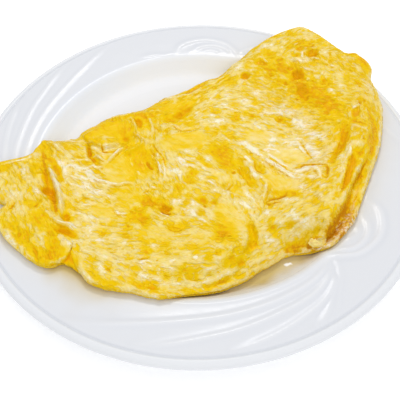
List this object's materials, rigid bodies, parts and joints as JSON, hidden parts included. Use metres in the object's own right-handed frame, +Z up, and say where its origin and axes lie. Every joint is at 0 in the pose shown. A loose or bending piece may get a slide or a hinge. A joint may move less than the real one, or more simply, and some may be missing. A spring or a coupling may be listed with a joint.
{
  "type": "folded omelette on a plate",
  "caption": "Half-moon folded omelette lying from rim to rim across a round white relief-rimmed porcelain plate.",
  "frame": {"origin": "centre of the plate's foot ring, on the surface that the plate stands on", "axes": "+Z up, square to the plate; +X to the right and +Y away from a diner who has the omelette's open round edge towards them and its fold at the back"},
  "size_m": [0.25, 0.25, 0.0311],
  "materials": {
    "glaze": "white glossy glazed porcelain with a faint blue-grey shade",
    "egg": "moist soft cooked egg, mottled pale yellow to orange-yellow, slightly translucent with small wet highlights"
  },
  "bodies": {
    "root": {"plate": "glaze", "omelette": "egg"}
  },
  "joints": []
}
